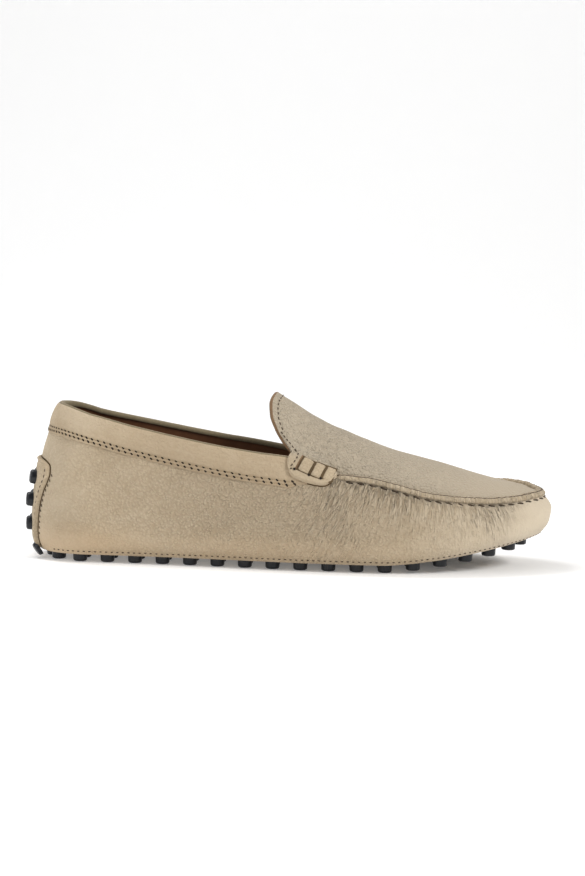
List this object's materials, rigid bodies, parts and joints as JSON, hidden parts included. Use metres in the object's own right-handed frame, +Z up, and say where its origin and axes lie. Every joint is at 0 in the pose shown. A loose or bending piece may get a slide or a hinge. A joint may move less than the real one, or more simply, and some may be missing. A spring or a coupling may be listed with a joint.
{
  "type": "driving moccasin",
  "caption": "Right driving moccasin in sand nubuck: soft leather shell with a raised apron seam, laced corner wings and a sole of round black rubber pebbles.",
  "frame": {"origin": "on the floor under the middle of the shoe's box", "axes": "+X towards the toe, +Y towards the medial side of a right foot, +Z up"},
  "size_m": [0.2923, 0.101, 0.0939],
  "materials": {
    "sand_nubuck": "matt brushed nubuck with fine grain",
    "brown_lining": "smooth satin lining leather",
    "black_rubber": "satin moulded rubber"
  },
  "bodies": {
    "root": {"upper": "sand_nubuck", "leather_sole": "sand_nubuck", "pebble_sole": "black_rubber", "insole": "brown_lining", "heel_tab": "sand_nubuck", "wing_lateral": "sand_nubuck", "wing_medial": "sand_nubuck", "heel_pebble_1": "black_rubber", "heel_pebble_2": "black_rubber", "heel_pebble_3": "black_rubber", "heel_pebble_4": "black_rubber", "heel_pebble_5": "black_rubber", "heel_pebble_6": "black_rubber", "heel_pebble_7": "black_rubber", "heel_pebble_8": "black_rubber", "lace_bar_lateral_1": "sand_nubuck", "lace_bar_lateral_2": "sand_nubuck", "lace_bar_lateral_3": "sand_nubuck", "lace_bar_medial_1": "sand_nubuck", "lace_bar_medial_2": "sand_nubuck", "lace_bar_medial_3": "sand_nubuck"}
  },
  "joints": []
}
